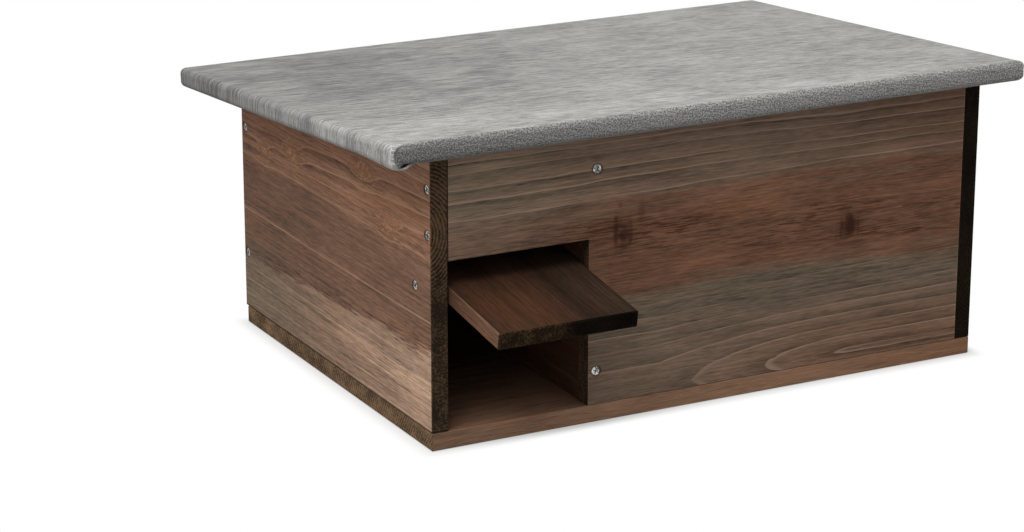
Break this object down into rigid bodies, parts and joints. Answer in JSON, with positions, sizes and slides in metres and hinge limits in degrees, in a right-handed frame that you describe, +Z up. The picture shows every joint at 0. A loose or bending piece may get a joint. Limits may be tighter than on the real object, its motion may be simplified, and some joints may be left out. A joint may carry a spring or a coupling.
{
  "type": "hedgehog house",
  "caption": "Low stained-timber box with a swinging entrance flap, an inner partition that makes a tunnel, and a sloping felt-covered roof hinged at the back.",
  "frame": {"origin": "middle of the base board's underside, on the ground", "axes": "+X to the right as seen from the entrance, +Y to the back, +Z up"},
  "size_m": [0.455, 0.3784, 0.2001],
  "materials": {
    "stained_wood": "stained matt, open grain",
    "roof_felt": "grey fibrous felt",
    "zinc_steel": "zinc plated"
  },
  "bodies": {
    "carcass": {"base_board": "stained_wood", "left_side_panel": "stained_wood", "right_side_panel": "stained_wood", "front_panel": "stained_wood", "back_panel": "stained_wood", "partition_wall": "stained_wood", "flap_pivot_screw_left": "zinc_steel", "flap_pivot_screw_right": "zinc_steel", "front_panel_screws": "zinc_steel", "left_side_screws": "zinc_steel", "right_side_screws": "zinc_steel", "base_screws": "zinc_steel", "left_hinge_wall_leaf": "zinc_steel", "right_hinge_wall_leaf": "zinc_steel", "left_hinge_pin": "zinc_steel", "right_hinge_pin": "zinc_steel", "hinge_wall_screws": "zinc_steel"},
    "flap": {"entrance_flap": "stained_wood"},
    "roof": {"roof_board": "stained_wood", "roof_felt": "roof_felt", "felt_staples": "zinc_steel", "left_hinge_roof_leaf": "zinc_steel", "right_hinge_roof_leaf": "zinc_steel", "hinge_roof_screws": "zinc_steel"}
  },
  "joints": [
    {"name": "flap_swing", "type": "hinge", "parent": "carcass", "child": "flap", "pos_m": [-0.13935, -0.12015, 0.1004], "axis": [-1, 0, 0], "range_deg": [-165, 38]},
    {"name": "roof_lift", "type": "hinge", "parent": "carcass", "child": "roof", "pos_m": [0, 0.14755, 0.16216], "axis": [-1, 0, 0], "range_deg": [0, 95]}
  ]
}
